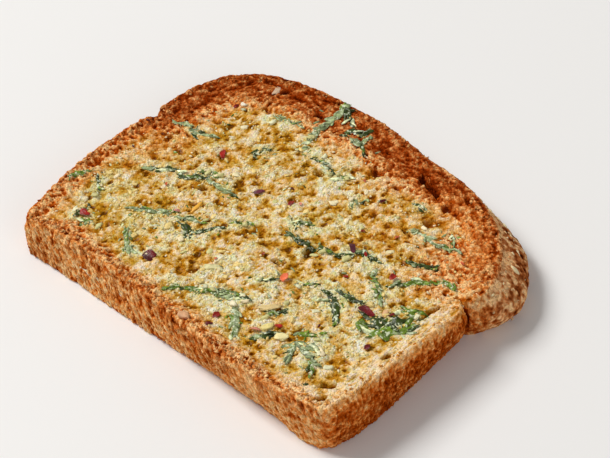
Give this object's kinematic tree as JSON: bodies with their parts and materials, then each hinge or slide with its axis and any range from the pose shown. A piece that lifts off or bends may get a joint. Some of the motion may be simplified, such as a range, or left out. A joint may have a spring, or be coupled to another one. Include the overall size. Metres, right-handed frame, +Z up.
{
  "type": "garlic toast",
  "caption": "Toasted slice of tin-loaf bread with a lopsided domed top, a browned rim and a flat underside, topped with garlic, herbs and chilli.",
  "frame": {"origin": "on the surface the slice rests on, under the middle of its bounding box", "axes": "+X along the straight base edge, +Y from the base edge to the domed top of the slice, +Z up out of the topped face"},
  "size_m": [0.1236, 0.0904, 0.015],
  "materials": {
    "toasted_crumb": "matte"
  },
  "bodies": {
    "root": {"toast_slice": "toasted_crumb"}
  },
  "joints": []
}
